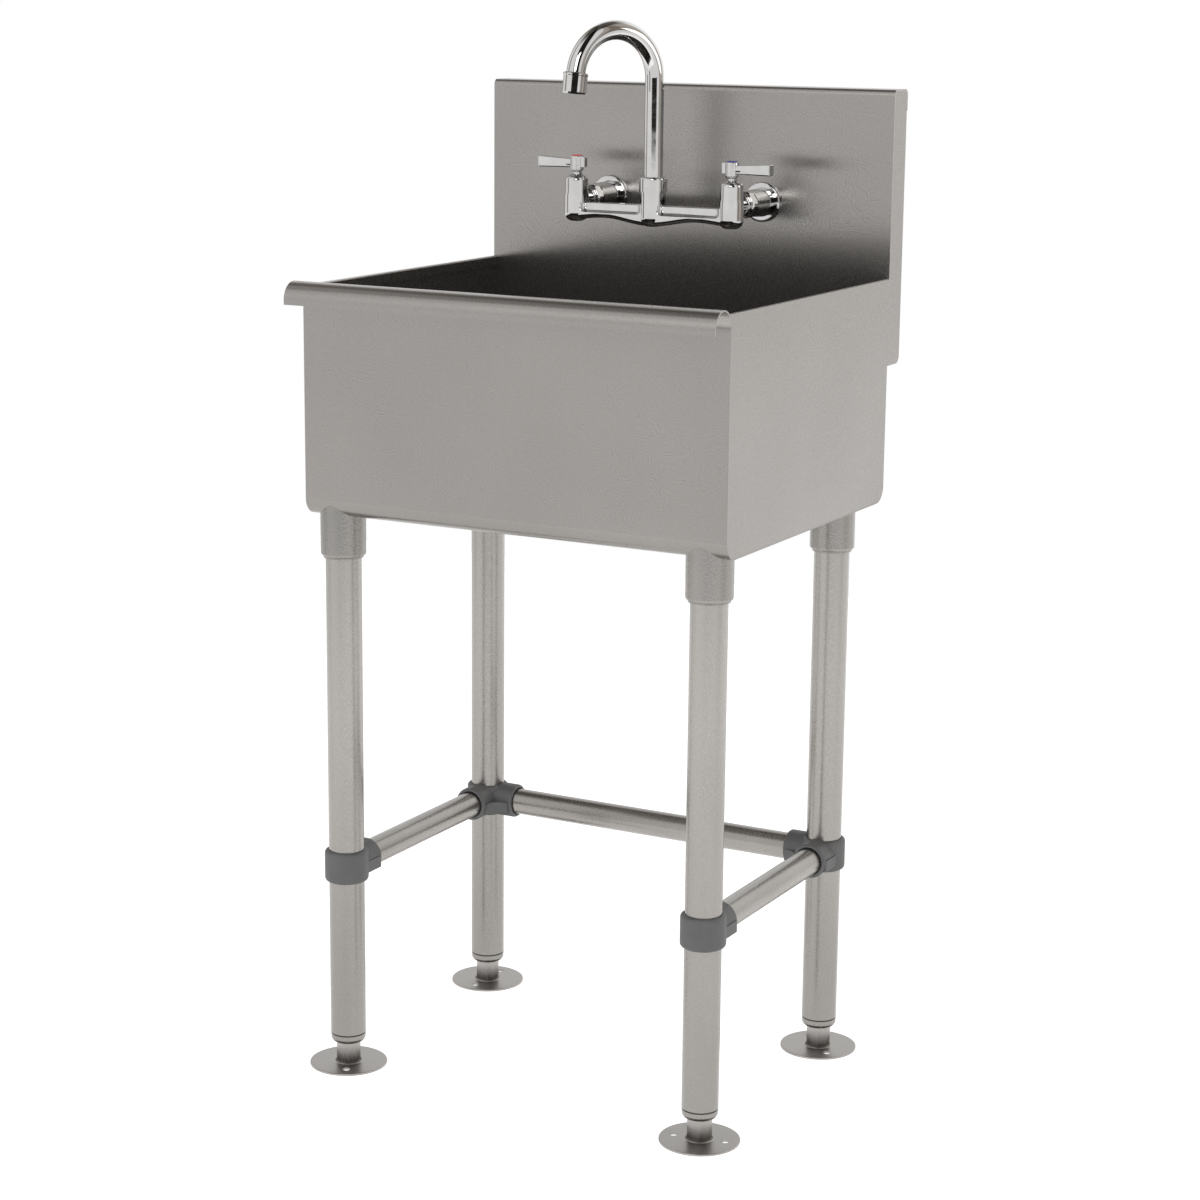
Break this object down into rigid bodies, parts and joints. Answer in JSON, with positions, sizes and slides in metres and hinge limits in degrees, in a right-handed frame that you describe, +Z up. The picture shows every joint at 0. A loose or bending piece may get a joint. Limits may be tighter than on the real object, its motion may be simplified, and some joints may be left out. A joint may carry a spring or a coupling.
{
  "type": "freestanding hand sink",
  "caption": "Freestanding sheet steel hand sink with a rolled front rim, a high splash, tube legs tied by low rails, flanged feet and a wall faucet with levers and a swinging gooseneck.",
  "frame": {"origin": "on the floor, under the middle of the overall width and depth", "axes": "+Z up, -Y towards the user at the front rim, +X to the right seen from the front"},
  "size_m": [0.556, 0.497, 1.2146],
  "materials": {
    "sheet_steel": "satin brushed stainless sheet",
    "socket_steel": "satin stainless, lightly pebbled",
    "tube_steel": "bright galvanised tube",
    "cast_fitting": "satin die cast",
    "foot_steel": "satin",
    "screw_steel": "plain",
    "chrome": "polished chrome plate",
    "brass": "plain turned",
    "drain_steel": "satin stainless",
    "rubber": "matte",
    "index_red": "gloss",
    "index_blue": "gloss"
  },
  "bodies": {
    "stand": {"basin_wrapper": "sheet_steel", "coupling_nut_left": "chrome", "coupling_nut_right": "chrome", "cross_rail_left": "tube_steel", "cross_rail_rear": "tube_steel", "cross_rail_right": "tube_steel", "drain_body": "drain_steel", "drain_gasket": "rubber", "drain_nut": "brass", "faucet_body": "chrome", "foot_insert_front_left": "foot_steel", "foot_insert_front_right": "foot_steel", "foot_insert_rear_left": "foot_steel", "foot_insert_rear_right": "foot_steel", "inlet_shank_left": "chrome", "inlet_shank_right": "chrome", "leg_socket_front_left": "socket_steel", "leg_socket_front_right": "socket_steel", "leg_socket_rear_left": "socket_steel", "leg_socket_rear_right": "socket_steel", "leg_tube_front_left": "tube_steel", "leg_tube_front_right": "tube_steel", "leg_tube_rear_left": "tube_steel", "leg_tube_rear_right": "tube_steel", "rail_fitting_front_left": "cast_fitting", "rail_fitting_front_right": "cast_fitting", "rail_fitting_rear_left": "cast_fitting", "rail_fitting_rear_right": "cast_fitting", "rail_screws": "screw_steel", "shank_locknut_left": "brass", "shank_locknut_right": "brass", "shank_washer_left": "screw_steel", "shank_washer_right": "screw_steel", "side_panel_left": "sheet_steel", "side_panel_right": "sheet_steel", "socket_screws": "screw_steel", "splash_end_left": "sheet_steel", "splash_end_right": "sheet_steel", "swivel_nut": "chrome", "valve_bonnet_left": "chrome", "valve_bonnet_right": "chrome", "wall_flange_left": "chrome", "wall_flange_right": "chrome"},
    "lever_hot": {"lever_left": "chrome", "valve_stem_left": "brass", "index_hot": "index_red"},
    "lever_cold": {"lever_right": "chrome", "valve_stem_right": "brass", "index_cold": "index_blue"},
    "gooseneck": {"spout": "chrome", "aerator": "chrome"},
    "basket": {"strainer_basket": "drain_steel"},
    "foot_front_left": {"foot_front_left": "foot_steel"},
    "foot_front_right": {"foot_front_right": "foot_steel"},
    "foot_rear_left": {"foot_rear_left": "foot_steel"},
    "foot_rear_right": {"foot_rear_right": "foot_steel"}
  },
  "joints": [
    {"name": "lever_hot_turn", "type": "hinge", "parent": "stand", "child": "lever_hot", "pos_m": [-0.1016, 0.1245, 1.045], "axis": [0, 0, 1], "range_deg": [0, 90]},
    {"name": "lever_cold_turn", "type": "hinge", "parent": "stand", "child": "lever_cold", "pos_m": [0.1016, 0.1245, 1.045], "axis": [0, 0, 1], "range_deg": [-90, 0]},
    {"name": "gooseneck_swing", "type": "hinge", "parent": "stand", "child": "gooseneck", "pos_m": [0, 0.1245, 1.017], "axis": [0, 0, 1], "range_deg": [-81, 139]},
    {"name": "basket_lift", "type": "slide", "parent": "stand", "child": "basket", "axis": [0, 0, 1], "range_m": [0, 0.3]},
    {"name": "foot_front_left_screw", "type": "slide", "parent": "stand", "child": "foot_front_left", "axis": [0, 0, 1], "range_m": [-0.025, 0]},
    {"name": "foot_front_right_screw", "type": "slide", "parent": "stand", "child": "foot_front_right", "axis": [0, 0, 1], "range_m": [-0.025, 0]},
    {"name": "foot_rear_left_screw", "type": "slide", "parent": "stand", "child": "foot_rear_left", "axis": [0, 0, 1], "range_m": [-0.025, 0]},
    {"name": "foot_rear_right_screw", "type": "slide", "parent": "stand", "child": "foot_rear_right", "axis": [0, 0, 1], "range_m": [-0.025, 0]}
  ]
}
